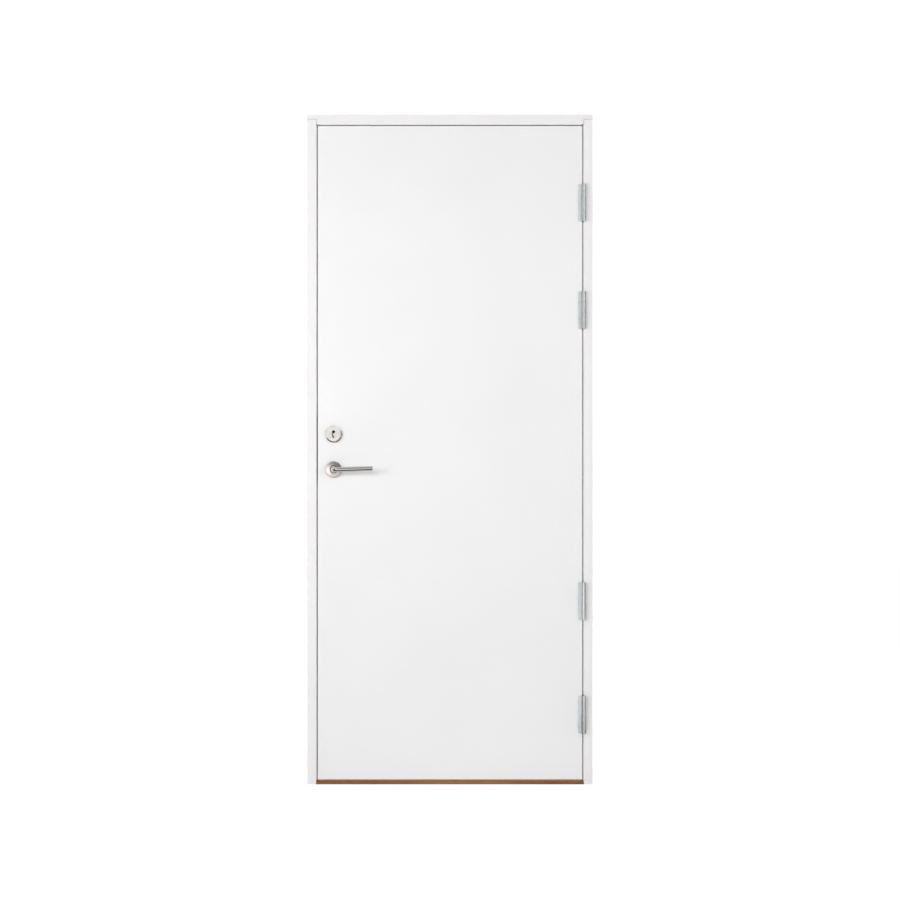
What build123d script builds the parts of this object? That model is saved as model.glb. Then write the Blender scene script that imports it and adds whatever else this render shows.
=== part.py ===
from build123d import *
from math import cos, radians, sin
import os

# A single-leaf timber fire door in its frame, closed, seen from the side it opens towards.
# X runs from the lock side to the hinge side, Y from the opening side through the wall, Z up.
# The origin lies on the floor under the middle of the frame, at half the frame's depth.

# Frame: two jambs and a head of rebated timber, and an oak threshold
frame_width = 890.0
frame_height = 2090.0
frame_depth = 115.0
jamb_face = 27.5
head_face = 30.0
threshold_face = 10.0
threshold_nose = 4.0
stop_step = 14.5
head_cap = 14.0
frame_edge_radius = 1.5
fixing_radius = 7.0
fixing_from_face = 28.0
fixings_from_floor = (100.0, 720.0)
fixings_from_top = (770.0, 140.0)

# Leaf: two skins on a timber rim round a mineral core
leaf_thickness = 52.0
leaf_gap = 5.0
seal_gap = 5.0
skin = 4.0
hinge_stile_width = 70.0
rail_width = 70.0
mortise_wall = 12.0
leaf_edge_radius = 1.0

# Smoke seal in a kerf of the frame's stop, and swelling strips let into the leaf's edges
kerf_width = 3.0
kerf_depth = 7.0
kerf_clearance = 0.2
seal_inset = 8.0
bulb_radius = 4.5
bulb_wall = 1.2
strip_width = 9.0
strip_depth = 2.0
strip_from_face = 42.0

# Four knuckle hinges: the upper barrel hangs on the leaf, the lower one carries the pin
hinges_from_bottom = (204.0, 558.0)
hinges_from_top = (575.0, 240.0)
hinge_length = 117.0
knuckle_radius = 7.0
knuckle_standoff = 1.5
hinge_plate = 2.5
hinge_plate_depth = 34.0
hinge_wing = 12.5
wing_relief = 1.5
wing_corner_radius = 2.0
pin_radius = 4.4
pin_length = 40.0
pin_clearance = 0.1
bearing_radius = 6.0
bearing_height = 1.0
hinge_play = 0.3

# Mortise lock
backset = 50.0
lever_height = 983.0
cylinder_above_lever = 110.0
forend_below_lever = 38.0
forend_length = 200.0
forend_width = 22.0
forend_thickness = 3.0
lock_plate_corner = 3.0
case_thickness = 16.0
case_end_margin = 14.0
case_behind_spindle = 28.0
mortise_clearance = 0.5
follower_radius = 6.5
bolt_thickness = 11.0
bolt_length = 30.0
bolt_clearance = 0.2
latch_height = 20.0
latch_above_lever = 28.0
latch_bevel = 7.0
dead_bolt_height = 36.0
dead_bolt_below_cylinder = 25.0
strike_width = 44.0
strike_thickness = 2.5
strike_slack = 1.5
keep_depth = 18.0

# Lever handles on round roses
spindle_side = 8.0
spindle_clearance = 0.1
spindle_hole_radius = 9.0
rose_radius = 25.5
rose_height = 8.0
rose_bevel = 1.2
collar_radius = 10.0
collar_height = 3.0
collar_clearance = 0.3
lever_radius = 7.25
lever_reach = 123.0
lever_projection = 52.0
lever_bend = 17.0
lever_rise = 1.8
lever_tip_bevel = 1.0
lever_foot = 1.0
socket_depth = 34.0

# Key cylinders in bevelled guard rings
ring_radius = 26.5
ring_face_radius = 22.0
ring_height = 11.0
ring_rim = 6.5
oval_length = 26.0
oval_width = 11.0
oval_clearance = 0.2
oval_hole_clearance = 1.0
cylinder_recess = 2.5
cylinder_cam_gap = 4.0
keyway_depth = 20.0
key_top_radius = 4.3
key_top_offset = (-0.4, 7.5)
key_slot_width = 2.4
key_slot_offset = -3.0
key_foot_radius = 2.5
key_foot_offset = (-0.9, -8.6)

# Planes and edges that follow from the sizes above
front_y = -frame_depth / 2
back_y = frame_depth / 2
leaf_back_y = front_y + leaf_thickness
leaf_mid_y = front_y + leaf_thickness / 2
stop_y = leaf_back_y + seal_gap
outer_x = frame_width / 2
rebate_x = outer_x - jamb_face
stop_x = rebate_x - stop_step
leaf_x = rebate_x - leaf_gap
head_rebate_z = frame_height - head_face
leaf_top = head_rebate_z - leaf_gap
leaf_bottom = threshold_face + leaf_gap
leaf_height = leaf_top - leaf_bottom
leaf_mid_z = (leaf_top + leaf_bottom) / 2
jamb_top = frame_height - head_cap
fixing_heights = [*fixings_from_floor, *(frame_height - drop for drop in fixings_from_top)]
seal_x = rebate_x - seal_inset
seal_top = head_rebate_z - seal_inset
seal_bottom = threshold_face + seal_inset
hinge_x = leaf_x - hinge_plate + knuckle_radius
hinge_y = front_y - knuckle_standoff - knuckle_radius
hinge_heights = [
    *(leaf_bottom + rise for rise in hinges_from_bottom),
    *(leaf_top - drop for drop in hinges_from_top),
]
spindle_x = backset - leaf_x
cylinder_z = lever_height + cylinder_above_lever
forend_bottom = lever_height - forend_below_lever
case_back_x = spindle_x + case_behind_spindle
lock_stile_x = case_back_x + mortise_wall
core_edge_x = leaf_x - hinge_stile_width
latch_z = lever_height + latch_above_lever
dead_bolt_z = cylinder_z - dead_bolt_below_cylinder
strip_y = front_y + strip_from_face


def block(x_from, x_to, y_from, y_to, z_from, z_to):
    # A square-edged solid between two corners, for rims, pockets and plates
    with BuildPart() as solid:
        with BuildSketch(Plane.XY.offset(z_from)):
            with Locations(((x_from + x_to) / 2, (y_from + y_to) / 2)):
                Rectangle(x_to - x_from, y_to - y_from)
        extrude(amount=z_to - z_from)
    return solid.part


def jamb_section(edge_radius=0.0):
    # Rebated outline of the hinge jamb, with the edges round the opening softened
    with BuildSketch() as section:
        with BuildLine():
            Polyline(
                (outer_x, front_y),
                (rebate_x, front_y),
                (rebate_x, stop_y),
                (stop_x, stop_y),
                (stop_x, back_y),
                (outer_x, back_y),
                close=True,
            )
        make_face()
        if edge_radius:
            fillet(section.vertices().group_by(Axis.X)[1].sort_by(Axis.Y)[0], radius=edge_radius)
            fillet(section.vertices().group_by(Axis.X)[0], radius=edge_radius)
    return section.sketch


def seal_kerf():
    # Groove that runs round the stop, for the stem of the seal
    with BuildPart() as kerf:
        with BuildSketch(Plane.XZ.offset(-stop_y)):
            with Locations((0, (seal_top + seal_bottom) / 2)):
                Rectangle(2 * seal_x + kerf_width, seal_top - seal_bottom + kerf_width)
                Rectangle(
                    2 * seal_x - kerf_width,
                    seal_top - seal_bottom - kerf_width,
                    mode=Mode.SUBTRACT,
                )
        extrude(amount=-kerf_depth)
    return kerf.part


def hinge_pocket(height):
    # Room for the two plates of one hinge, in the leaf's edge and in the jamb
    return block(
        leaf_x - hinge_plate,
        rebate_x + hinge_plate,
        front_y,
        front_y + hinge_plate_depth,
        height - hinge_length / 2,
        height + hinge_length / 2,
    )


def bolt_room(height, bolt_height, x_from, x_to, slack):
    # Square passage for a bolt through the forend, the case or the keep
    return block(
        x_from,
        x_to,
        leaf_mid_y - bolt_thickness / 2 - slack,
        leaf_mid_y + bolt_thickness / 2 + slack,
        height - bolt_height / 2 - slack,
        height + bolt_height / 2 + slack,
    )


def lock_plate(x_from, thickness, width):
    # Round-cornered plate as tall as the forend, for the lock's edge and for the strike
    with BuildPart() as plate:
        with BuildSketch(Plane.YZ.offset(x_from)):
            with Locations((leaf_mid_y, forend_bottom + forend_length / 2)):
                RectangleRounded(width, forend_length, lock_plate_corner)
        extrude(amount=thickness)
    return plate.part


def jamb_housing(foot, top):
    # The square room that the hinge jamb takes up in the head or beside the threshold
    with BuildPart() as housing:
        with BuildSketch(Plane.XY.offset(foot)):
            add(jamb_section())
        extrude(amount=top - foot)
    return housing.part


# Jamb as planed for either side: seal kerf and screw holes into the wall
with BuildPart() as plain_jamb:
    with BuildSketch():
        add(jamb_section(frame_edge_radius))
    extrude(amount=jamb_top)
    add(seal_kerf(), mode=Mode.SUBTRACT)
    with BuildSketch(Plane.YZ.offset(rebate_x)):
        with Locations([(front_y + fixing_from_face, height) for height in fixing_heights]):
            Circle(fixing_radius)
    extrude(amount=jamb_face, mode=Mode.SUBTRACT)

# Lock jamb with the strike plate let in flush, and keeps for the two bolts behind it
bolts = ((latch_z, latch_height), (dead_bolt_z, dead_bolt_height))
strike_plate_room = lock_plate(-rebate_x - strike_thickness, strike_thickness, strike_width)
keep_back_x = -rebate_x - strike_thickness - keep_depth

with BuildPart() as lock_jamb:
    mirror(plain_jamb.part, about=Plane.YZ)
    add(strike_plate_room, mode=Mode.SUBTRACT)
    for bolt_z, bolt_height in bolts:
        add(
            bolt_room(bolt_z, bolt_height, keep_back_x, -rebate_x, strike_slack),
            mode=Mode.SUBTRACT,
        )

with BuildPart() as strike_plate:
    add(strike_plate_room)
    for bolt_z, bolt_height in bolts:
        add(
            bolt_room(bolt_z, bolt_height, keep_back_x, -rebate_x, strike_slack),
            mode=Mode.SUBTRACT,
        )

# Hinge jamb with the hinge plates let in flush
with BuildPart() as hinge_jamb:
    add(plain_jamb.part)
    for hinge_z in hinge_heights:
        add(hinge_pocket(hinge_z), mode=Mode.SUBTRACT)

# Head: runs over the jambs with its cap and sits between them below it
with BuildPart() as frame_head:
    with BuildSketch(Plane.YZ.offset(-outer_x)) as head_section:
        with BuildLine():
            Polyline(
                (front_y, frame_height),
                (front_y, head_rebate_z),
                (stop_y, head_rebate_z),
                (stop_y, head_rebate_z - stop_step),
                (back_y, head_rebate_z - stop_step),
                (back_y, frame_height),
                close=True,
            )
        make_face()
        fillet(head_section.vertices().group_by(Axis.Y)[0], radius=frame_edge_radius)
        fillet(
            head_section.vertices().group_by(Axis.X)[0].sort_by(Axis.Y)[0],
            radius=frame_edge_radius,
        )
    extrude(amount=frame_width)
    head_housing = jamb_housing(head_rebate_z - stop_step, jamb_top)
    add(head_housing, mode=Mode.SUBTRACT)
    mirror(head_housing, about=Plane.YZ, mode=Mode.SUBTRACT)
    add(seal_kerf(), mode=Mode.SUBTRACT)

# Oak threshold between the jambs, with a rounded nose under the leaf
with BuildPart() as threshold:
    with BuildSketch(Plane.YZ.offset(-rebate_x)) as threshold_section:
        with BuildLine():
            Polyline(
                (front_y, 0),
                (front_y, threshold_face),
                (stop_y, threshold_face),
                (stop_y, threshold_face + stop_step),
                (back_y, threshold_face + stop_step),
                (back_y, 0),
                close=True,
            )
        make_face()
        fillet(threshold_section.vertices().group_by(Axis.Y)[-1], radius=frame_edge_radius)
        fillet(
            threshold_section.vertices().group_by(Axis.X)[0].sort_by(Axis.Y)[-1],
            radius=threshold_nose,
        )
    extrude(amount=2 * rebate_x)
    foot_housing = jamb_housing(0, threshold_face + stop_step)
    add(foot_housing, mode=Mode.SUBTRACT)
    mirror(foot_housing, about=Plane.YZ, mode=Mode.SUBTRACT)
    add(seal_kerf(), mode=Mode.SUBTRACT)


def seal_strip(middle, outward, along, span):
    # One mitred length of rubber seal: a hollow bulb on a stem that fills the kerf
    with BuildPart() as strip:
        with BuildSketch(Plane(origin=middle, x_dir=outward, z_dir=along)):
            with BuildLine():
                CenterArc((0, 0), bulb_radius, 180, 180)
                Line((-bulb_radius, 0), (bulb_radius, 0))
            make_face()
            with BuildLine():
                CenterArc((0, -bulb_wall), bulb_radius - 2 * bulb_wall, 180, 180)
                Line(
                    (2 * bulb_wall - bulb_radius, -bulb_wall),
                    (bulb_radius - 2 * bulb_wall, -bulb_wall),
                )
            make_face(mode=Mode.SUBTRACT)
            with Locations((0, (kerf_depth - kerf_clearance) / 2)):
                Rectangle(kerf_width - 2 * kerf_clearance, kerf_depth - kerf_clearance)
        extrude(amount=span / 2 + bulb_radius, both=True)
        with BuildSketch(Plane(origin=middle, x_dir=outward, z_dir=(0, 1, 0))):
            with BuildLine():
                Polyline(
                    (-bulb_radius, bulb_radius - span / 2),
                    (bulb_radius, -bulb_radius - span / 2),
                    (bulb_radius, span / 2 + bulb_radius),
                    (-bulb_radius, span / 2 - bulb_radius),
                    close=True,
                )
            make_face()
        extrude(amount=kerf_depth + bulb_radius, both=True, mode=Mode.INTERSECT)
    return strip.part


seal_height = seal_top - seal_bottom
seal_mid_z = (seal_top + seal_bottom) / 2
head_seal = seal_strip((0, stop_y, seal_top), (0, 0, 1), (-1, 0, 0), 2 * seal_x)
threshold_seal = seal_strip((0, stop_y, seal_bottom), (0, 0, -1), (1, 0, 0), 2 * seal_x)
hinge_side_seal = seal_strip((seal_x, stop_y, seal_mid_z), (1, 0, 0), (0, 0, 1), seal_height)
lock_side_seal = seal_strip((-seal_x, stop_y, seal_mid_z), (-1, 0, 0), (0, 0, -1), seal_height)


def hinge_leaf_half(height):
    # Upper barrel with a blind bore, strap let into the leaf's edge, and wing on the leaf's face
    foot = height - hinge_length / 2
    top = height + hinge_length / 2
    barrel_foot = height + bearing_height + hinge_play
    with BuildPart() as half:
        with BuildSketch(Plane.XY.offset(barrel_foot)):
            with Locations((hinge_x, hinge_y)):
                Circle(knuckle_radius)
        extrude(amount=top - barrel_foot)
        add(block(leaf_x - hinge_plate, leaf_x, hinge_y, front_y, barrel_foot, top))
        with BuildSketch(Plane.XY.offset(barrel_foot)):
            with Locations((hinge_x, hinge_y)):
                Circle(pin_radius + pin_clearance)
        extrude(amount=pin_length + hinge_play, mode=Mode.SUBTRACT)
        add(block(leaf_x - hinge_plate, leaf_x, front_y, front_y + hinge_plate_depth, foot, top))
        with BuildSketch(Plane.XZ.offset(-front_y)) as wing:
            with BuildLine():
                Polyline(
                    (leaf_x - hinge_wing, foot),
                    (leaf_x - wing_relief, foot),
                    (leaf_x - wing_relief, barrel_foot - wing_relief),
                    (leaf_x, barrel_foot),
                    (leaf_x, top),
                    (leaf_x - hinge_wing, top),
                    close=True,
                )
            make_face()
            fillet(wing.vertices().group_by(Axis.X)[0], radius=wing_corner_radius)
        extrude(amount=hinge_plate)
    return half.part


def hinge_frame_half(height):
    # Lower barrel with its bearing washer and pin, and plate let into the jamb
    foot = height - hinge_length / 2
    top = height + hinge_length / 2
    with BuildPart() as half:
        with BuildSketch(Plane.XY.offset(foot)):
            with Locations((hinge_x, hinge_y)):
                Circle(knuckle_radius)
        extrude(amount=hinge_length / 2)
        for step_foot, step_radius, step_height in (
            (height, bearing_radius, bearing_height),
            (height + bearing_height, pin_radius, pin_length),
        ):
            with BuildSketch(Plane.XY.offset(step_foot)):
                with Locations((hinge_x, hinge_y)):
                    Circle(step_radius)
            extrude(amount=step_height)
        plate_back = rebate_x + hinge_plate
        add(block(rebate_x, plate_back, hinge_y, front_y, foot, height))
        add(block(rebate_x, plate_back, front_y, front_y + hinge_plate_depth, foot, top))
    return half.part


def spindle_hole():
    # Round hole through the whole leaf for the lever's spindle
    with BuildPart() as hole:
        with BuildSketch(Plane.XZ.offset(-front_y)):
            with Locations((spindle_x, lever_height)):
                Circle(spindle_hole_radius)
        extrude(amount=-leaf_thickness)
    return hole.part


def cylinder_hole(clearance):
    # Upright oval hole through the whole leaf for the two key cylinders
    with BuildPart() as hole:
        with BuildSketch(Plane.XZ.offset(-front_y)):
            with Locations((spindle_x, cylinder_z)):
                SlotOverall(oval_length + 2 * clearance, oval_width + 2 * clearance, rotation=90)
        extrude(amount=-leaf_thickness)
    return hole.part


def leaf_skin(outer_y, inner_y):
    # Painted board over the whole leaf, with a softened edge on its outer face
    with BuildPart() as board:
        with BuildSketch(Plane.XZ.offset(-inner_y)):
            with Locations((0, leaf_mid_z)):
                Rectangle(2 * leaf_x, leaf_height)
        extrude(amount=inner_y - outer_y)
        outer_face = board.faces().sort_by_distance((0, outer_y, leaf_mid_z))[0]
        fillet(outer_face.edges(), radius=leaf_edge_radius)
        add(spindle_hole(), mode=Mode.SUBTRACT)
        add(cylinder_hole(oval_hole_clearance), mode=Mode.SUBTRACT)
    return board.part


with BuildPart() as front_skin:
    add(leaf_skin(front_y, front_y + skin))
    for hinge_z in hinge_heights:
        add(hinge_pocket(hinge_z), mode=Mode.SUBTRACT)

back_skin = leaf_skin(leaf_back_y, leaf_back_y - skin)

# Grooves for the swelling strips in the two upright edges and the top edge of the leaf
strip_from = strip_y - strip_width / 2
strip_to = strip_y + strip_width / 2
hinge_edge_strip = block(leaf_x - strip_depth, leaf_x, strip_from, strip_to, leaf_bottom, leaf_top)
lock_edge_strip = block(-leaf_x, strip_depth - leaf_x, strip_from, strip_to, leaf_bottom, leaf_top)
top_edge_strip = block(
    strip_depth - leaf_x,
    leaf_x - strip_depth,
    strip_from,
    strip_to,
    leaf_top - strip_depth,
    leaf_top,
)

with BuildPart() as hinge_stile:
    add(block(core_edge_x, leaf_x, front_y + skin, leaf_back_y - skin, leaf_bottom, leaf_top))
    add(hinge_edge_strip, mode=Mode.SUBTRACT)
    add(top_edge_strip, mode=Mode.SUBTRACT)
    for hinge_z in hinge_heights:
        add(hinge_pocket(hinge_z), mode=Mode.SUBTRACT)

# Lock stile with the mortise for the case and the seat of the forend
forend_room = lock_plate(-leaf_x, forend_thickness, forend_width)
case_bottom = forend_bottom + case_end_margin
case_top = forend_bottom + forend_length - case_end_margin

with BuildPart() as lock_stile:
    add(block(-leaf_x, lock_stile_x, front_y + skin, leaf_back_y - skin, leaf_bottom, leaf_top))
    add(lock_edge_strip, mode=Mode.SUBTRACT)
    add(top_edge_strip, mode=Mode.SUBTRACT)
    add(forend_room, mode=Mode.SUBTRACT)
    add(
        block(
            -leaf_x,
            case_back_x + mortise_clearance,
            leaf_mid_y - case_thickness / 2 - mortise_clearance,
            leaf_mid_y + case_thickness / 2 + mortise_clearance,
            case_bottom - mortise_clearance,
            case_top + mortise_clearance,
        ),
        mode=Mode.SUBTRACT,
    )
    add(spindle_hole(), mode=Mode.SUBTRACT)
    add(cylinder_hole(oval_hole_clearance), mode=Mode.SUBTRACT)

with BuildPart() as top_rail:
    add(
        block(
            lock_stile_x,
            core_edge_x,
            front_y + skin,
            leaf_back_y - skin,
            leaf_top - rail_width,
            leaf_top,
        )
    )
    add(top_edge_strip, mode=Mode.SUBTRACT)

bottom_rail = block(
    lock_stile_x,
    core_edge_x,
    front_y + skin,
    leaf_back_y - skin,
    leaf_bottom,
    leaf_bottom + rail_width,
)
leaf_core = block(
    lock_stile_x,
    core_edge_x,
    front_y + skin,
    leaf_back_y - skin,
    leaf_bottom + rail_width,
    leaf_top - rail_width,
)

# Lock case, forend and the two bolts drawn back flush with the forend
bolt_back_x = bolt_length - leaf_x

with BuildPart() as lock_forend:
    add(forend_room)
    for bolt_z, bolt_height in bolts:
        add(
            bolt_room(bolt_z, bolt_height, -leaf_x, bolt_back_x, bolt_clearance),
            mode=Mode.SUBTRACT,
        )

with BuildPart() as lock_case:
    add(
        block(
            forend_thickness - leaf_x,
            case_back_x,
            leaf_mid_y - case_thickness / 2,
            leaf_mid_y + case_thickness / 2,
            case_bottom,
            case_top,
        )
    )
    for bolt_z, bolt_height in bolts:
        add(
            bolt_room(bolt_z, bolt_height, -leaf_x, bolt_back_x, bolt_clearance),
            mode=Mode.SUBTRACT,
        )
    with BuildSketch(Plane.XZ.offset(-front_y)):
        with Locations((spindle_x, lever_height)):
            Circle(follower_radius)
    extrude(amount=-leaf_thickness, mode=Mode.SUBTRACT)
    add(cylinder_hole(oval_clearance), mode=Mode.SUBTRACT)

with BuildPart() as latch_bolt:
    add(bolt_room(latch_z, latch_height, -leaf_x, bolt_back_x, 0))
    chamfer(
        latch_bolt.edges().filter_by(Axis.Z).group_by(Axis.X)[0].sort_by(Axis.Y)[-1],
        length=latch_bevel,
    )

dead_bolt = bolt_room(dead_bolt_z, dead_bolt_height, -leaf_x, bolt_back_x, 0)


def handle_plane(height):
    # Plane on the leaf's face at one lock centre, with its normal towards the viewer
    return Plane(origin=(spindle_x, front_y, height), x_dir=(1, 0, 0), z_dir=(0, -1, 0))


def turned(height, outline):
    # Solid turned about one lock centre from points (radius, distance off the leaf's face)
    centre = (spindle_x, front_y, height)
    with BuildPart() as solid:
        with BuildSketch(Plane(origin=centre, x_dir=(1, 0, 0), z_dir=(0, 0, -1))):
            with BuildLine():
                Polyline(*outline, close=True)
            make_face()
        revolve(axis=Axis(centre, (0, -1, 0)))
    return solid.part


# Flat round rose with a bevelled rim and a hole for the collar of the lever
rose_hole_radius = collar_radius + collar_clearance
front_rose = turned(
    lever_height,
    (
        (rose_hole_radius, 0),
        (rose_radius, 0),
        (rose_radius, rose_height - rose_bevel),
        (rose_radius - rose_bevel, rose_height),
        (rose_hole_radius, rose_height),
    ),
)

# Lever: a straight round bar on a bent neck, with a square socket for the spindle
rise = radians(lever_rise)
lever_plane = Plane(
    origin=(spindle_x, front_y, lever_height),
    x_dir=(cos(rise), 0, sin(rise)),
    z_dir=(sin(rise), 0, -cos(rise)),
)

with BuildPart() as front_lever:
    with BuildLine(lever_plane) as lever_route:
        FilletPolyline(
            (0, lever_foot),
            (0, lever_projection),
            (lever_reach, lever_projection),
            radius=lever_bend,
        )
    with BuildSketch(Plane(origin=lever_route.line @ 0, z_dir=lever_route.line % 0)):
        Circle(lever_radius)
    sweep(path=lever_route.line)
    chamfer(
        front_lever.edges().filter_by(GeomType.CIRCLE).sort_by(Axis.X)[-1],
        length=lever_tip_bevel,
    )
    with BuildSketch(handle_plane(lever_height).offset(lever_foot)):
        Circle(collar_radius)
    extrude(amount=rose_height + collar_height - lever_foot)
    with BuildSketch(handle_plane(lever_height).offset(lever_foot)):
        Rectangle(spindle_side + 2 * spindle_clearance, spindle_side + 2 * spindle_clearance)
    extrude(amount=socket_depth - lever_foot, mode=Mode.SUBTRACT)

# Square spindle through the lock, from the foot of one socket to the other
with BuildPart() as spindle:
    with BuildSketch(handle_plane(lever_height).offset(socket_depth - spindle_clearance)):
        Rectangle(spindle_side, spindle_side)
    extrude(amount=-leaf_thickness - 2 * (socket_depth - spindle_clearance))

# Guard ring with a conical flank and an oval mouth for the cylinder
with BuildPart() as front_cylinder_ring:
    add(
        turned(
            cylinder_z,
            (
                (0, 0),
                (ring_radius, 0),
                (ring_radius, ring_rim),
                (ring_face_radius, ring_height),
                (0, ring_height),
            ),
        )
    )
    with BuildSketch(handle_plane(cylinder_z)):
        SlotOverall(
            oval_length + 2 * oval_clearance,
            oval_width + 2 * oval_clearance,
            rotation=90,
        )
    extrude(amount=ring_height, mode=Mode.SUBTRACT)

# Oval key cylinder with a C-shaped keyway, reaching into the lock case
with BuildPart() as front_cylinder:
    with BuildSketch(handle_plane(cylinder_z).offset(ring_height - cylinder_recess)):
        SlotOverall(oval_length, oval_width, rotation=90)
    extrude(amount=cylinder_recess + cylinder_cam_gap / 2 - ring_height - leaf_thickness / 2)
    with BuildSketch(handle_plane(cylinder_z).offset(ring_height - cylinder_recess)):
        with Locations(key_top_offset):
            Circle(key_top_radius)
        with Locations(key_foot_offset):
            Circle(key_foot_radius)
        with Locations((key_slot_offset, (key_top_offset[1] + key_foot_offset[1]) / 2)):
            Rectangle(key_slot_width, key_top_offset[1] - key_foot_offset[1])
    extrude(amount=-keyway_depth, mode=Mode.SUBTRACT)

leaf_middle = Plane.XZ.offset(-leaf_mid_y)

pieces = {
    "frame_head": frame_head.part,
    "hinge_jamb": hinge_jamb.part,
    "lock_jamb": lock_jamb.part,
    "threshold": threshold.part,
    "head_seal": head_seal,
    "hinge_side_seal": hinge_side_seal,
    "lock_side_seal": lock_side_seal,
    "threshold_seal": threshold_seal,
    "strike_plate": strike_plate.part,
    "front_skin": front_skin.part,
    "back_skin": back_skin,
    "hinge_stile": hinge_stile.part,
    "lock_stile": lock_stile.part,
    "top_rail": top_rail.part,
    "bottom_rail": bottom_rail,
    "leaf_core": leaf_core,
    "hinge_edge_strip": hinge_edge_strip,
    "lock_edge_strip": lock_edge_strip,
    "top_edge_strip": top_edge_strip,
    "lock_forend": lock_forend.part,
    "lock_case": lock_case.part,
    "latch_bolt": latch_bolt.part,
    "dead_bolt": dead_bolt,
    "front_rose": front_rose,
    "back_rose": mirror(front_rose, about=leaf_middle),
    "front_cylinder_ring": front_cylinder_ring.part,
    "back_cylinder_ring": mirror(front_cylinder_ring.part, about=leaf_middle),
    "front_cylinder": front_cylinder.part,
    "back_cylinder": mirror(front_cylinder.part, about=leaf_middle),
    "front_lever": front_lever.part,
    "back_lever": mirror(front_lever.part, about=leaf_middle),
    "spindle": spindle.part,
}
for number, hinge_z in enumerate(hinge_heights, start=1):
    pieces[f"hinge_{number}_leaf_half"] = hinge_leaf_half(hinge_z)
    pieces[f"hinge_{number}_frame_half"] = hinge_frame_half(hinge_z)

os.makedirs("parts", exist_ok=True)
for name, piece in pieces.items():
    piece.label = name
    export_step(piece, f"parts/{name}.step")
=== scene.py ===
import math
import bmesh
import bpy
from mathutils import Matrix, Vector


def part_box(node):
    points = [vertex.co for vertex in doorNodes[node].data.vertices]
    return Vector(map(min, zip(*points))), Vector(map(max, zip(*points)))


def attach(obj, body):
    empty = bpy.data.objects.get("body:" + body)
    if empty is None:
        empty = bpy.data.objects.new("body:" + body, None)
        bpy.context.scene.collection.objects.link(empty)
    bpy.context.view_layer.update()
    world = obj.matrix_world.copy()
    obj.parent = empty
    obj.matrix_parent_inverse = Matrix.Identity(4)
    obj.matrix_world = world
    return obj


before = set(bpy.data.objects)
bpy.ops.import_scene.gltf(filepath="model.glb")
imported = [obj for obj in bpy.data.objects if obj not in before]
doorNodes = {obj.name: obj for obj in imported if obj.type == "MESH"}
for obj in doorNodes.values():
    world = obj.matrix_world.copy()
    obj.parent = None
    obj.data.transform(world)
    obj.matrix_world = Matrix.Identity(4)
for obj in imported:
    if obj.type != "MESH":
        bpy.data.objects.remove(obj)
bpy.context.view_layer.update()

scene = bpy.context.scene
print("door frame loaded:", len(doorNodes), "solids")

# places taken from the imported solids, in metres

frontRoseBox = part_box("front_rose")
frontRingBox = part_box("front_cylinder_ring")
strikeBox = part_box("strike_plate")
handleSide = {
    "x": (frontRoseBox[0].x + frontRoseBox[1].x) / 2,
    "leverHeight": (frontRoseBox[0].z + frontRoseBox[1].z) / 2,
    "keyHeight": (frontRingBox[0].z + frontRingBox[1].z) / 2,
    "neckRadius": 0.00725,
}
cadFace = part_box("hinge_jamb")[0].y
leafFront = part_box("front_skin")[0].y
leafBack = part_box("back_skin")[1].y
rebateX = -strikeBox[1].x
hingeCount = 4


# small helpers for finishes

noiseLow = 0.3
noiseHigh = 0.7
white = (1, 1, 1, 1)


def newFinish(name):
    finish = bpy.data.materials.new(name)
    finish.use_nodes = True
    tree = finish.node_tree
    return finish, tree, tree.nodes["Principled BSDF"]


def plug(tree, socket, value):
    if isinstance(value, bpy.types.NodeSocket):
        tree.links.new(value, socket)
    else:
        socket.default_value = value


def addNode(tree, kind, inputs=None, **settings):
    node = tree.nodes.new(kind)
    for setting, value in settings.items():
        setattr(node, setting, value)
    for socket, value in (inputs or {}).items():
        plug(tree, node.inputs[socket], value)
    return node


def feed(tree, shader, **inputs):
    for socket, value in inputs.items():
        plug(tree, shader.inputs[socket.replace("_", " ")], value)


def addNoise(tree, scale, stretch=(1, 1, 1), detail=3.0, rough=0.5):
    place = addNode(tree, "ShaderNodeTexCoord")
    mapping = addNode(tree, "ShaderNodeMapping", {"Vector": place.outputs["Object"], "Scale": stretch})
    noise = addNode(tree, "ShaderNodeTexNoise",
                    {"Vector": mapping.outputs["Vector"], "Scale": scale, "Detail": detail,
                     "Roughness": rough})
    return noise.outputs["Fac"]


def stretchAlong(axis, share):
    return [share if name == axis else 1.0 for name in "XYZ"]


def addRamp(tree, level, stops):
    ramp = addNode(tree, "ShaderNodeValToRGB", {"Fac": level})
    marks = ramp.color_ramp.elements
    while len(marks) < len(stops):
        marks.new(0.5)
    for mark, (position, colour) in zip(marks, stops):
        mark.position = position
        mark.color = (*colour, 1)
    return ramp.outputs["Color"]


def addTone(tree, level, deep, pale):
    return addRamp(tree, level, ((noiseLow, deep), (noiseHigh, pale)))


def addRange(tree, level, fromLow=0.0, fromHigh=1.0, toLow=0.0, toHigh=1.0):
    span = addNode(tree, "ShaderNodeMapRange",
                   {"Value": level, "From Min": fromLow, "From Max": fromHigh,
                    "To Min": toLow, "To Max": toHigh})
    return span.outputs["Result"]


def addSpread(tree, level, low, high):
    return addRange(tree, level, noiseLow, noiseHigh, low, high)


def addBump(tree, height, strength, distance, under=None):
    inputs = {"Height": height, "Strength": strength, "Distance": distance}
    if under:
        inputs["Normal"] = under
    return addNode(tree, "ShaderNodeBump", inputs).outputs["Normal"]


def addMath(tree, operation, *values):
    return addNode(tree, "ShaderNodeMath", dict(enumerate(values)), operation=operation).outputs[0]


def addMultiply(tree, factor, colour, tone):
    mixed = addNode(tree, "ShaderNodeMix", {"Factor": factor, "A": colour, "B": tone},
                    data_type="RGBA", blend_type="MULTIPLY")
    return mixed.outputs["Result"]


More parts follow.
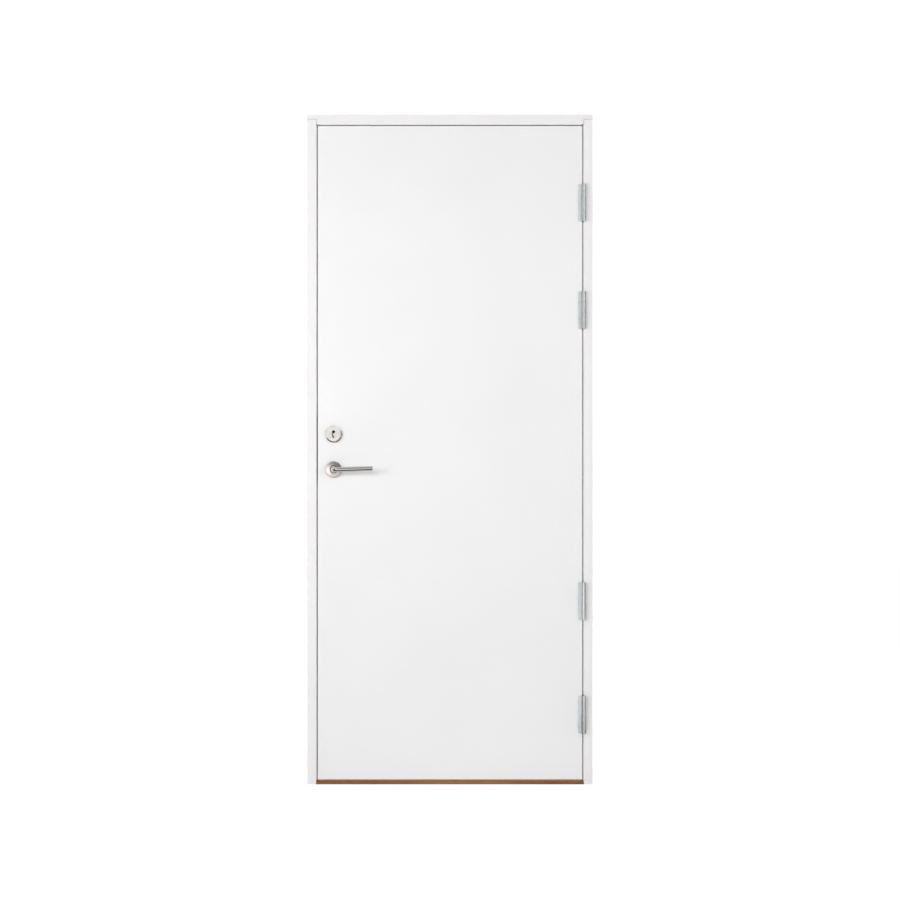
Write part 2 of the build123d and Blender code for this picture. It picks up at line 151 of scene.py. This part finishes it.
def addPlace(tree):
    place = addNode(tree, "ShaderNodeTexCoord")
    return addNode(tree, "ShaderNodeSeparateXYZ", {"Vector": place.outputs["Object"]}).outputs


# finishes of the door

leafPaint = {"pale": (0.868, 0.861, 0.863), "deep": (0.848, 0.841, 0.843), "gloss": (0.34, 0.44),
             "cloud": 3.5, "wave": 14.0, "peel": 700.0, "speck": 55.0}


def makeLeafPaint():
    finish, tree, shader = newFinish("leaf_paint")
    cloud = addNoise(tree, leafPaint["cloud"], detail=2.0)
    wave = addNoise(tree, leafPaint["wave"], detail=1.0)
    peel = addNoise(tree, leafPaint["peel"], detail=1.0)
    slow = addBump(tree, wave, strength=0.10, distance=0.0008)
    feed(tree, shader,
         Base_Color=addTone(tree, cloud, leafPaint["deep"], leafPaint["pale"]),
         Roughness=addSpread(tree, addNoise(tree, leafPaint["speck"]), *leafPaint["gloss"]),
         Normal=addBump(tree, peel, strength=0.16, distance=0.0002, under=slow))
    return finish


# the joint between head and jambs, a hairline in the paint
frameJoint = {"tongue": 0.014, "halfLine": 0.0007, "halfUpright": 0.0085, "tone": (0.50, 0.49, 0.48, 1)}


def addJoint(tree, colour):
    place = addPlace(tree)
    across = addMath(tree, "ABSOLUTE", place["X"])
    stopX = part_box("hinge_jamb")[0].x
    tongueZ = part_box("frame_head")[1].z - frameJoint["tongue"]
    uprightZ = tongueZ - frameJoint["halfUpright"]
    front = addMath(tree, "LESS_THAN", place["Y"], 0.0)
    inHead = addMath(tree, "COMPARE", place["Z"], uprightZ, frameJoint["halfUpright"])
    inner = addMath(tree, "COMPARE", across, rebateX, frameJoint["halfLine"])
    upright = addMath(tree, "MULTIPLY", addMath(tree, "MULTIPLY", inHead, inner), front)
    beyond = addMath(tree, "GREATER_THAN", across, addRange(tree, front, toLow=stopX, toHigh=rebateX))
    onTongue = addMath(tree, "COMPARE", place["Z"], tongueZ, frameJoint["halfLine"])
    level = addMath(tree, "MULTIPLY", beyond, onTongue)
    return addMultiply(tree, addMath(tree, "MAXIMUM", upright, level), colour, frameJoint["tone"])


framePaint = {"pale": (0.860, 0.849, 0.846), "deep": (0.836, 0.825, 0.822), "gloss": (0.36, 0.48),
              "grain": 208.0, "alongGrain": 0.035, "cloud": 5.0, "peel": 650.0}


def makeFramePaint(name, along):
    finish, tree, shader = newFinish(name)
    stretch = stretchAlong(along, framePaint["alongGrain"])  # the timber's grain runs along the member
    grain = addNoise(tree, framePaint["grain"], stretch, detail=4.0, rough=0.6)
    cloud = addNoise(tree, framePaint["cloud"], detail=2.0)
    peel = addNoise(tree, framePaint["peel"], detail=1.0)
    lines = addBump(tree, grain, strength=0.14, distance=0.0006)
    feed(tree, shader,
         Base_Color=addJoint(tree, addTone(tree, cloud, framePaint["deep"], framePaint["pale"])),
         Roughness=addSpread(tree, grain, *framePaint["gloss"]),
         Normal=addBump(tree, peel, strength=0.12, distance=0.0002, under=lines))
    return finish


oak = {"dark": (0.124, 0.044, 0.012), "mid": (0.288, 0.115, 0.031), "light": (0.384, 0.175, 0.049),
       "poreTone": (0.55, 0.48, 0.42, 1), "gloss": (0.42, 0.56), "rings": 60.0, "pores": 620.0}


def makeOak():
    finish, tree, shader = newFinish("oiled_oak")
    rings = addNoise(tree, oak["rings"], stretchAlong("X", 0.05), detail=5.0, rough=0.62)
    pores = addNoise(tree, oak["pores"], stretchAlong("X", 0.03), detail=2.0)
    wood = addRamp(tree, rings, ((0.28, oak["dark"]), (0.48, oak["mid"]), (0.72, oak["light"])))
    feed(tree, shader,
         Base_Color=addMultiply(tree, addSpread(tree, pores, 0.0, 0.5), wood, oak["poreTone"]),
         Roughness=addSpread(tree, rings, *oak["gloss"]),
         Normal=addBump(tree, pores, strength=0.25, distance=0.0004))
    return finish


zinc = {"cool": (0.650, 0.685, 0.705), "warm": (0.690, 0.710, 0.720), "gloss": (0.24, 0.34),
        "film": 38.0, "drawn": 900.0, "plateMatt": 0.24, "fade": 0.003}


def makeZinc(name, matt):
    finish, tree, shader = newFinish(name)
    film = addNoise(tree, zinc["film"])  # thin passivation film, faintly blue and yellow
    drawn = addNoise(tree, zinc["drawn"], stretchAlong("Z", 0.05), detail=2.0)
    # plates behind the frame's face are less polished than the barrels in front of it
    behind = addRange(tree, addPlace(tree)["Y"], cadFace, cadFace + zinc["fade"], toHigh=matt)
    feed(tree, shader,
         Metallic=1.0,
         Base_Color=addRamp(tree, film, ((0.32, zinc["cool"]), (0.70, zinc["warm"]))),
         Roughness=addMath(tree, "ADD", addSpread(tree, drawn, *zinc["gloss"]), behind),
         Normal=addBump(tree, drawn, strength=0.10, distance=0.0002))
    return finish


satinSteel = {"pale": (0.63, 0.605, 0.585), "deep": (0.55, 0.528, 0.510),
              "brushed": 1500.0, "alongBrush": 0.03}


def makeSatinSteel(name, along, gloss):
    finish, tree, shader = newFinish(name)
    stretch = stretchAlong(along, satinSteel["alongBrush"])  # brushed along the piece
    brushed = addNoise(tree, satinSteel["brushed"], stretch, rough=0.6)
    feed(tree, shader,
         Metallic=1.0,
         Base_Color=addTone(tree, brushed, satinSteel["deep"], satinSteel["pale"]),
         Roughness=addSpread(tree, brushed, *gloss),
         Normal=addBump(tree, brushed, strength=0.08, distance=0.0001))
    return finish


turnedMetal = {"rings": 2600.0, "gloss": (0.20, 0.29), "drawnOut": 0.35}


def makeTurnedMetal(name, pale, deep, height):
    finish, tree, shader = newFinish(name)
    place = addNode(tree, "ShaderNodeTexCoord")
    centred = addNode(tree, "ShaderNodeMapping",
                      {"Vector": place.outputs["Object"], "Location": (-handleSide["x"], 0, -height),
                       "Scale": (1.0, 0.0, 1.0)})
    reach = addNode(tree, "ShaderNodeVectorMath", {0: centred.outputs["Vector"]}, operation="LENGTH")
    rings = addNode(tree, "ShaderNodeTexNoise",
                    {"W": reach.outputs["Value"], "Scale": turnedMetal["rings"], "Detail": 2.0},
                    noise_dimensions="1D").outputs["Fac"]
    feed(tree, shader,
         Metallic=1.0,
         Base_Color=addTone(tree, rings, deep, pale),
         Roughness=addSpread(tree, rings, *turnedMetal["gloss"]),
         Anisotropic=turnedMetal["drawnOut"],
         Tangent=addNode(tree, "ShaderNodeTangent", direction_type="RADIAL", axis="Y").outputs["Tangent"],
         Normal=addBump(tree, rings, strength=0.03, distance=0.0001))
    return finish


# dark is painted shade for the keyway and the recess behind the face; pale is the cylinder's own metal
keyCylinder = {"pale": (0.74, 0.72, 0.69), "dark": (0.012, 0.011, 0.010), "gloss": (0.26, 0.42),
               "worn": 900.0, "faceDepth": 0.0005, "clearShare": 0.3}


def makeKeyCylinder():
    finish, tree, shader = newFinish("key_cylinder")
    leafMiddle = (leafFront + leafBack) / 2
    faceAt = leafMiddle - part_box("front_cylinder")[0].y
    depth = addMath(tree, "ABSOLUTE", addMath(tree, "SUBTRACT", addPlace(tree)["Y"], leafMiddle))
    # painted shade: the cylinder goes near-black from just below its face, standing in for the shade inside
    # the keyway
    outsidePaintedShade = addRange(tree, depth, faceAt - keyCylinder["faceDepth"],
                       faceAt - keyCylinder["faceDepth"] * keyCylinder["clearShare"])
    worn = addNoise(tree, keyCylinder["worn"], stretchAlong("Z", 0.2))
    feed(tree, shader,
         Metallic=1.0,
         Base_Color=addRamp(tree, outsidePaintedShade, ((0.0, keyCylinder["dark"]), (1.0, keyCylinder["pale"]))),
         Roughness=addSpread(tree, worn, *keyCylinder["gloss"]),
         Normal=addBump(tree, worn, strength=0.08, distance=0.0001))
    return finish


rubber = {"gloss": (0.62, 0.78), "dust": 90.0, "skin": 1200.0}


def makeRubber(name, pale, deep):
    finish, tree, shader = newFinish(name)
    dust = addNoise(tree, rubber["dust"], detail=4.0)
    feed(tree, shader,
         Base_Color=addTone(tree, dust, deep, pale),
         Roughness=addSpread(tree, dust, *rubber["gloss"]),
         Normal=addBump(tree, addNoise(tree, rubber["skin"]), strength=0.15, distance=0.0001))
    return finish


boardCore = {"pale": (0.46, 0.34, 0.22), "deep": (0.30, 0.20, 0.12), "rough": 0.85, "chips": 260.0}


def makeBoardCore():
    finish, tree, shader = newFinish("core_board")
    place = addNode(tree, "ShaderNodeTexCoord")
    chips = addNode(tree, "ShaderNodeTexVoronoi",
                    {"Vector": place.outputs["Object"], "Scale": boardCore["chips"]}).outputs["Distance"]
    feed(tree, shader,
         Base_Color=addRamp(tree, chips, ((0.1, boardCore["deep"]), (0.8, boardCore["pale"]))),
         Roughness=boardCore["rough"],
         Normal=addBump(tree, chips, strength=0.4, distance=0.0006))
    return finish


leafFinish = makeLeafPaint()
uprightFinish = makeFramePaint("frame_paint_upright", "Z")
crossFinish = makeFramePaint("frame_paint_cross", "X")
oakFinish = makeOak()
zincFinish = makeZinc("bright_zinc", matt=zinc["plateMatt"])
screwFinish = makeZinc("screw_zinc", matt=0.0)
leverFinish = makeSatinSteel("satin_steel_lever", "X", gloss=(0.18, 0.26))
plateFinish = makeSatinSteel("satin_steel_plate", "Z", gloss=(0.40, 0.52))
roseFinish = makeTurnedMetal("turned_steel_rose", pale=(0.65, 0.59, 0.565), deep=(0.57, 0.52, 0.495),
                             height=handleSide["leverHeight"])
ringFinish = makeTurnedMetal("satin_nickel_ring", pale=(0.84, 0.81, 0.78), deep=(0.76, 0.73, 0.70),
                             height=handleSide["keyHeight"])
cylinderFinish = makeKeyCylinder()
sealFinish = makeRubber("seal_rubber", pale=(0.52, 0.52, 0.51), deep=(0.44, 0.44, 0.43))
stripFinish = makeRubber("swelling_strip", pale=(0.62, 0.61, 0.59), deep=(0.54, 0.53, 0.51))
coreFinish = makeBoardCore()

finishOf = {
    "frame_head": crossFinish, "hinge_jamb": uprightFinish, "lock_jamb": uprightFinish,
    "threshold": oakFinish,
    "front_skin": leafFinish, "back_skin": leafFinish, "hinge_stile": leafFinish, "lock_stile": leafFinish,
    "top_rail": leafFinish, "bottom_rail": leafFinish, "leaf_core": coreFinish,
    "front_rose": roseFinish, "back_rose": roseFinish,
    "front_cylinder_ring": ringFinish, "back_cylinder_ring": ringFinish,
    "front_cylinder": cylinderFinish, "back_cylinder": cylinderFinish,
    "front_lever": leverFinish, "back_lever": leverFinish, "spindle": leverFinish,
}
for nodeName, node in doorNodes.items():
    finish = finishOf.get(nodeName, plateFinish)
    if nodeName.endswith("_seal"):
        finish = sealFinish
    if nodeName.endswith("_strip"):
        finish = stripFinish
    if nodeName.startswith("hinge_") and nodeName.endswith("_half"):
        finish = zincFinish
    for holder in node.material_slots:
        holder.material = finish
print("finishes on", len(doorNodes), "solids")


# small helpers for new pieces

roundSides = 24
sharpAngle = 35


def keepPiece(name, shape, body, finish):
    mesh = bpy.data.meshes.new(name)
    bmesh.ops.recalc_face_normals(shape, faces=shape.faces)
    shape.to_mesh(mesh)
    shape.free()
    mesh.shade_smooth()
    mesh.set_sharp_from_angle(angle=math.radians(sharpAngle))
    mesh.materials.append(finish)
    piece = bpy.data.objects.new(name, mesh)
    scene.collection.objects.link(piece)
    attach(piece, body)


def facingMatrix(seat, facing):
    return Matrix.Translation(seat) @ Vector(facing).to_track_quat("Z", "Y").to_matrix().to_4x4()


def topFace(shape, before):
    fresh = [face for face in shape.faces if face.verts[0] not in before]
    return max(fresh, key=lambda face: face.calc_center_median().z)


def inset(shape, face, thickness, depth):
    bmesh.ops.inset_individual(shape, faces=[face], thickness=thickness, depth=depth)


def addRound(shape, footRadius, radius, deep):
    before = set(shape.verts)
    bmesh.ops.create_cone(shape, cap_ends=True, segments=roundSides, radius1=footRadius, radius2=radius,
                          depth=deep)
    return before, topFace(shape, before)


def shapeMouth(face, widenAt):
    for count, vert in enumerate(face.verts):
        widen = widenAt(count)
        vert.co.x *= widen
        vert.co.y *= widen


def seatRound(shape, before, deep, seat, facing):
    fresh = [vert for vert in shape.verts if vert not in before]
    bmesh.ops.translate(shape, verts=fresh, vec=(0, 0, -deep / 2))
    bmesh.ops.transform(shape, matrix=facingMatrix(seat, facing), verts=fresh)


# countersunk screws with a six-lobed socket

screw = {"radius": 0.0041, "footShare": 0.75, "sink": 0.0016, "rim": 0.0005, "dome": 0.0003, "crown": 0.4,
         "socket": 0.45, "lobes": 6, "lobe": 0.16, "deep": 0.0011, "taper": 0.00008}


def addScrew(shape, seat, facing, size=1.0):
    radius = screw["radius"] * size
    before, top = addRound(shape, radius * screw["footShare"], radius, screw["sink"])
    inset(shape, top, screw["rim"], screw["dome"])
    mouth = radius * screw["socket"]
    inset(shape, top, radius - screw["rim"] - mouth, screw["dome"] * screw["crown"])
    lobe, lobes = screw["lobe"], screw["lobes"]
    shapeMouth(top, lambda count: 1 + lobe * math.cos(count / roundSides * math.tau * lobes))
    inset(shape, top, screw["taper"], -screw["deep"])
    seatRound(shape, before, screw["sink"], seat, facing)


hingeScrews = {"heights": (-0.045, -0.016, 0.016, 0.045), "nearRow": 0.011, "farRow": 0.024}

for hinge in range(1, hingeCount + 1):
    for half, plateX, facing in (("leaf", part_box("hinge_stile")[1].x, 1), ("frame", rebateX, -1)):
        low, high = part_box(f"hinge_{hinge}_{half}_half")
        middle = (low.z + high.z) / 2
        shape = bmesh.new()
        for count, height in enumerate(hingeScrews["heights"]):
            row = hingeScrews["nearRow"] if count % 2 else hingeScrews["farRow"]
            addScrew(shape, (plateX, leafFront + row, middle + height), (facing, 0, 0))
        keepPiece(f"hinge_{hinge}_{half}_screws", shape, half, screwFinish)
print("hinge screws placed")

lockScrews = {"fromEnd": 0.0115, "size": 0.95}

for name, plate, body, facing in (("forend_screws", "lock_forend", "leaf", -1),
                                  ("strike_screws", "strike_plate", "frame", 1)):
    low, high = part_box(plate)
    plateX = low.x if facing < 0 else high.x
    shape = bmesh.new()
    for height in (low.z + lockScrews["fromEnd"], high.z - lockScrews["fromEnd"]):
        addScrew(shape, (plateX, (low.y + high.y) / 2, height), (facing, 0, 0), lockScrews["size"])
    keepPiece(name, shape, body, screwFinish)
print("lock screws placed")


# sunk fixing sleeves with a screw at their foot, in the bores of both jambs

fixing = {"radius": 0.0067, "sunk": 0.0015, "deep": 0.024, "wall": 0.0021, "chamferShare": 0.4, "lip": 0.0004,
          "bore": 0.008, "taper": 0.0001, "screwRise": 0.0012, "fromFace": 0.028,
          "heights": (0.100, 0.720, 1.320, 1.950)}


def addSleeve(shape, seat, facing):
    before, top = addRound(shape, fixing["radius"], fixing["radius"], fixing["deep"])
    inset(shape, top, fixing["wall"] * fixing["chamferShare"], fixing["lip"])
    inset(shape, top, fixing["wall"] * (1 - fixing["chamferShare"]), 0)
    inset(shape, top, fixing["taper"], -fixing["bore"])
    seatRound(shape, before, fixing["deep"], seat, facing)
    inward = Vector(facing) * (fixing["screwRise"] - fixing["bore"])
    addScrew(shape, Vector(seat) + inward, facing)


for jamb, side in (("hinge", 1), ("lock", -1)):
    sleeveX = side * (rebateX + fixing["sunk"])
    shape = bmesh.new()
    for height in fixing["heights"]:
        addSleeve(shape, (sleeveX, cadFace + fixing["fromFace"], height), (-side, 0, 0))
    keepPiece(f"{jamb}_jamb_sleeves", shape, "frame", screwFinish)
print("fixing sleeves sunk into the jambs")


# grub screws under the necks of the levers

grub = {"radius": 0.0021, "sink": 0.0012, "rim": 0.0003, "rimShare": 0.6, "socket": 0.5, "deep": 0.0010,
        "taper": 0.00006, "fromFace": 0.0195}


def addGrub(shape, seat):
    before, top = addRound(shape, grub["radius"], grub["radius"], grub["sink"])
    inset(shape, top, grub["rim"], grub["rim"] * grub["rimShare"])
    mouth = grub["radius"] * grub["socket"]
    inset(shape, top, grub["radius"] - grub["rim"] - mouth, 0)
    # a hexagon from the round mouth
    shapeMouth(top, lambda count: 1 / math.cos((count % 4 - 2) / roundSides * math.tau))
    inset(shape, top, grub["taper"], -grub["deep"])
    seatRound(shape, before, grub["sink"], seat, (0, 0, -1))


neckFoot = handleSide["leverHeight"] - handleSide["neckRadius"]
for side, faceY, outward in (("front", leafFront, -1), ("back", leafBack, 1)):
    shape = bmesh.new()
    addGrub(shape, (handleSide["x"], faceY + outward * grub["fromFace"], neckFoot))
    keepPiece(f"{side}_grub_screw", shape, "lever", plateFinish)
print("grub screws under the necks")


# dark guide bushes round the collars of the levers, near-black partly as the bush's own colour and partly as
# painted shade in the groove round each collar, and pressed covers that fall off to the roses' rims

bush = {"inner": 0.01025, "wide": 0.0021, "proud": 0.0018}
roseCover = {"inner": 0.01235, "wide": 0.01185, "proud": 0.0001, "rise": 0.00154}
turning = {"steps": 72, "weld": 0.00001}


def addTurned(shape, middle, outward, inner, wide, proud, rise=0.0):
    bmesh.ops.create_grid(shape, x_segments=1, y_segments=1, size=0.5)
    bmesh.ops.delete(shape, geom=shape.faces[:], context="FACES_ONLY")
    innerTop = [vert for vert in shape.verts if vert.co.x < 0 and vert.co.y * outward > 0]
    bmesh.ops.scale(shape, verts=shape.verts, vec=(wide, proud, 1))
    bmesh.ops.translate(shape, verts=innerTop, vec=(0, outward * rise, 0))
    offset = Vector((inner + wide / 2, outward * proud / 2, 0))
    bmesh.ops.translate(shape, verts=shape.verts, vec=Vector(middle) + offset)
    bmesh.ops.spin(shape, geom=shape.verts[:] + shape.edges[:], cent=middle, axis=(0, 1, 0), dvec=(0, 0, 0),
                   angle=math.tau, steps=turning["steps"], use_merge=True)
    bmesh.ops.remove_doubles(shape, verts=shape.verts, dist=turning["weld"])


# near-black: partly the bush's own colour, partly painted shade of the groove round the collar
bushAndShadeFinish = makeRubber("guide_bush_and_shade", pale=(0.035, 0.034, 0.033), deep=(0.022, 0.021, 0.020))
for side, faceY, outward in (("front", frontRoseBox[0].y, -1), ("back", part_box("back_rose")[1].y, 1)):
    roseMiddle = (handleSide["x"], faceY, handleSide["leverHeight"])
    shape = bmesh.new()
    addTurned(shape, roseMiddle, outward, **bush)
    keepPiece(f"{side}_guide_bush_and_shade", shape, "leaf", bushAndShadeFinish)
    shape = bmesh.new()
    addTurned(shape, roseMiddle, outward, **roseCover)
    keepPiece(f"{side}_rose_cover", shape, "leaf", roseFinish)
print("guide bushes and covers on the roses")


# brush seals let into the rebate, close behind the front face, broken by the hinges and the strike plate

brushSeal = {"fromFront": 0.0040, "wide": 0.0065, "base": 0.0006, "pileWide": 0.0040, "taper": 0.0002,
             "endGap": 0.0005, "sideInset": 0.001, "crossInset": 0.006,
             "pile": 0.0026, "headPile": 0.0012, "lockPile": 0.0022, "strikePile": 0.0012}


def addBrush(shape, start, end, facing, pile):
    run = Vector(end) - Vector(start)
    before = set(shape.verts)
    bmesh.ops.create_cube(shape, size=1.0)
    fresh = [vert for vert in shape.verts if vert not in before]
    bmesh.ops.scale(shape, verts=fresh, vec=(run.length, brushSeal["wide"], brushSeal["base"]))
    bmesh.ops.translate(shape, verts=fresh, vec=(0, 0, brushSeal["base"] / 2))
    top = topFace(shape, before)
    inset(shape, top, (brushSeal["wide"] - brushSeal["pileWide"]) / 2, 0)
    inset(shape, top, brushSeal["taper"], pile)
    fresh = [vert for vert in shape.verts if vert not in before]
    along = run.normalized()
    up = Vector(facing)
    turn = Matrix((along, up.cross(along), up)).transposed().to_4x4()
    middle = (Vector(start) + Vector(end)) / 2
    bmesh.ops.transform(shape, matrix=Matrix.Translation(middle) @ turn, verts=fresh)


def sealRuns(low, high, breaks):
    runs = []
    for bottom, top in sorted(breaks):
        runs.append((low, bottom - brushSeal["endGap"]))
        low = top + brushSeal["endGap"]
    return runs + [(low, high)]


def makeBrushSeals():
    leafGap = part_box("lock_forend")[0].x - strikeBox[1].x
    sealY = cadFace + brushSeal["fromFront"] + brushSeal["wide"] / 2
    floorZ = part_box("bottom_rail")[0].z - leafGap
    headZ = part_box("top_rail")[1].z + leafGap
    strikeRun = (strikeBox[0].z, strikeBox[1].z)
    hingeRuns = [(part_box(f"hinge_{hinge}_frame_half")[0].z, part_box(f"hinge_{hinge}_leaf_half")[1].z)
                 for hinge in range(1, hingeCount + 1)]
    for name, side, breaks, pile in (("hinge_side_brush", 1, hingeRuns, brushSeal["pile"]),
                                     ("lock_side_brush", -1, [strikeRun], brushSeal["lockPile"])):
        sealX = side * rebateX
        shape = bmesh.new()
        runs = sealRuns(floorZ + brushSeal["sideInset"], headZ - brushSeal["sideInset"], breaks)
        brushes = [(run, pile) for run in runs]
        if side < 0:  # shorter pile in front of the strike plate
            brushes.append((strikeRun, brushSeal["strikePile"]))
        for (bottom, top), height in brushes:
            addBrush(shape, (sealX, sealY, bottom), (sealX, sealY, top), (-side, 0, 0), height)
        keepPiece(name, shape, "frame", brushFinish)
    endX = rebateX - brushSeal["crossInset"]
    for name, height, up, pile, finish in (("head_brush", headZ, -1, brushSeal["headPile"], brushFinish),
                                           ("threshold_brush", floorZ, 1, brushSeal["pile"], brownFinish)):
        shape = bmesh.new()
        addBrush(shape, (-endX, sealY, height), (endX, sealY, height), (0, 0, up), pile)
        keepPiece(name, shape, "frame", finish)


brushFinish = makeRubber("brush_pile", pale=(0.80, 0.80, 0.79), deep=(0.70, 0.70, 0.69))
brownFinish = makeRubber("brown_pile", pale=(0.46, 0.23, 0.16), deep=(0.36, 0.17, 0.11))
makeBrushSeals()
print("brush seals laid in the gap")


# camera at the photograph's place

photoCamera = {"imageSize": 900, "pixelsPerMetre": 320.4, "distance": 6.0, "height": 1.0436, "sensor": 36.0}


def makeCamera():
    imageWidth = photoCamera["imageSize"] / photoCamera["pixelsPerMetre"]
    lens = bpy.data.cameras.new("photo_camera")
    lens.sensor_width = photoCamera["sensor"]
    lens.lens = photoCamera["sensor"] * photoCamera["distance"] / imageWidth
    camera = bpy.data.objects.new("photo_camera", lens)
    camera.location = (0, cadFace - photoCamera["distance"], photoCamera["height"])
    camera.rotation_euler = (math.radians(90), 0, 0)
    scene.collection.objects.link(camera)
    scene.camera = camera


makeCamera()


# studio: white floor and background, soft lamps on every side, cards for the metal to mirror

studio = {"ambient": 0.386, "skySeen": 1.02, "floorHalf": 12, "floorTone": (0.95, 0.95, 0.95, 1),
          "floorRough": 0.9, "floorGlow": 1.12, "floorShare": 0.85}
lamps = {
    "key_light": {"place": (-3.3, -3.2, 1.56), "aim": (-0.25, -0.06, 2.05), "size": (2.0, 1.2),
                  "power": 50.8},
    "front_light": {"place": (-0.72, -2.4, 1.55), "aim": (-0.15, -0.06, 1.85), "size": (0.8, 0.55),
                    "power": 14.9},
    "fill_light": {"place": (3.2, -3.6, 1.66), "aim": (0.1, -0.06, 2.1), "size": (1.3, 1.3), "power": 49.2},
    "back_left_light": {"place": (-3.0, 3.5, 1.75), "aim": (0, 0.06, 1.1), "size": (1.8, 1.2), "power": 44.0},
    "back_right_light": {"place": (3.0, 3.4, 1.75), "aim": (0, 0.06, 1.1), "size": (1.8, 1.2), "power": 50.0},
    "foot_light": {"place": (0, -0.30, 0.02), "aim": (0, -0.06, 0.08), "size": (0.9, 0.04), "power": 0.105},
    "top_light": {"place": (0, 0.55, 4.4), "aim": (0, 0.35, 2.0), "size": (1.4, 0.7), "power": 24.0},
}


def makeLamp(name, place, aim, size, power):
    lamp = bpy.data.lights.new(name, "AREA")
    lamp.shape = "RECTANGLE"
    lamp.size, lamp.size_y = size
    lamp.energy = power
    light = bpy.data.objects.new(name, lamp)
    light.location = place
    light.rotation_euler = (Vector(aim) - Vector(place)).to_track_quat("-Z", "Y").to_euler()
    light.visible_camera = False
    light.visible_glossy = False  # metal mirrors the cards instead
    scene.collection.objects.link(light)


for lampName, lampSetting in lamps.items():
    makeLamp(lampName, **lampSetting)


def addGlow(tree, level):
    return addNode(tree, "ShaderNodeEmission", {"Color": white, "Strength": level}).outputs["Emission"]


def showSurface(tree, surface):
    tree.links.new(surface, tree.nodes["Material Output"].inputs["Surface"])


def addStagePlane(name, half, middle=(0, 0, 0), facing=(0, 0, 1)):
    shape = bmesh.new()
    bmesh.ops.create_grid(shape, x_segments=1, y_segments=1, size=1.0)
    bmesh.ops.scale(shape, verts=shape.verts, vec=(half[0], half[1], 1))
    bmesh.ops.transform(shape, matrix=facingMatrix(middle, facing), verts=shape.verts)
    mesh = bpy.data.meshes.new(name)
    shape.to_mesh(mesh)
    shape.free()
    finish, tree, shader = newFinish(name)
    mesh.materials.append(finish)
    plane = bpy.data.objects.new(name, mesh)
    scene.collection.objects.link(plane)
    return plane, tree, shader


# each card: middle, half sizes, the way it faces and its level; only mirror-like rays see it
cards = {
    "upper_card": {"middle": (-1.2, -4.0, 3.75), "half": (1.45, 2.15), "facing": (0, 1, 0), "level": 0.38},
    "top_card": {"middle": (-1.2, -2.0, 6.0), "half": (1.6, 1.9), "facing": (0, 0, -1), "level": 0.66},
    "lower_card": {"middle": (-1.2, -0.65, 0.004), "half": (1.3, 0.95), "facing": (0, 0, 1), "level": 0.06},
    "foot_card": {"middle": (1.15, -0.22, 0.004), "half": (1.05, 0.53), "facing": (0, 0, 1), "level": 0.06},
    "left_card": {"middle": (-2.4, -1.0, 1.3), "half": (0.72, 1.3), "facing": (1, 0, 0), "level": 0.20},
    "glow_card": {"middle": (-1.7, -4.0, 0.8), "half": (0.70, 0.74), "facing": (0, 1, 0), "level": 2.1},
    "near_right_card": {"middle": (0.72, -4.0, 1.05), "half": (0.47, 0.42), "facing": (0, 1, 0),
                        "level": 0.04},
    "right_card": {"middle": (2.95, -1.75, 1.3), "half": (2.05, 1.3), "facing": (-1, 0, 0), "level": 0.20},
    "rose_card": {"middle": (-0.09, -1.0, 1.2), "half": (0.17, 0.16), "facing": (0, 1, 0), "level": 0.02},
    "hinge_card": {"middle": (2.0, -4.0, 2.1), "half": (0.50, 0.60), "facing": (0, 1, 0), "level": 3.0},
}


def makeCard(name, middle, half, facing, level):
    card, tree, _ = addStagePlane(name, half, middle, facing)
    showSurface(tree, addGlow(tree, level))
    for ray in ("camera", "diffuse", "transmission", "volume_scatter", "shadow"):
        setattr(card, "visible_" + ray, False)


for cardName, cardSetting in cards.items():
    makeCard(cardName, **cardSetting)


def seenDirectly(tree):
    path = addNode(tree, "ShaderNodeLightPath").outputs
    seen = addMath(tree, "MAXIMUM", path["Is Camera Ray"], path["Is Glossy Ray"])
    return addMath(tree, "MAXIMUM", seen, path["Is Transmission Ray"])


def makeWorld():
    world = bpy.data.worlds.new("studio_world")
    world.use_nodes = True
    tree = world.node_tree
    level = addRange(tree, seenDirectly(tree), toLow=studio["ambient"], toHigh=studio["skySeen"])
    feed(tree, tree.nodes["Background"], Color=white, Strength=level)
    scene.world = world


makeWorld()


def makeFloor():
    _, tree, shader = addStagePlane("studio_floor", (studio["floorHalf"], studio["floorHalf"]))
    feed(tree, shader, Base_Color=studio["floorTone"], Roughness=studio["floorRough"])
    share = addRange(tree, seenDirectly(tree), toHigh=studio["floorShare"])
    glow = addGlow(tree, studio["floorGlow"])
    mixed = addNode(tree, "ShaderNodeMixShader", {0: share, 1: shader.outputs["BSDF"], 2: glow})
    showSurface(tree, mixed.outputs["Shader"])


makeFloor()
scene.view_settings.view_transform = "Standard"
print("camera and studio ready")
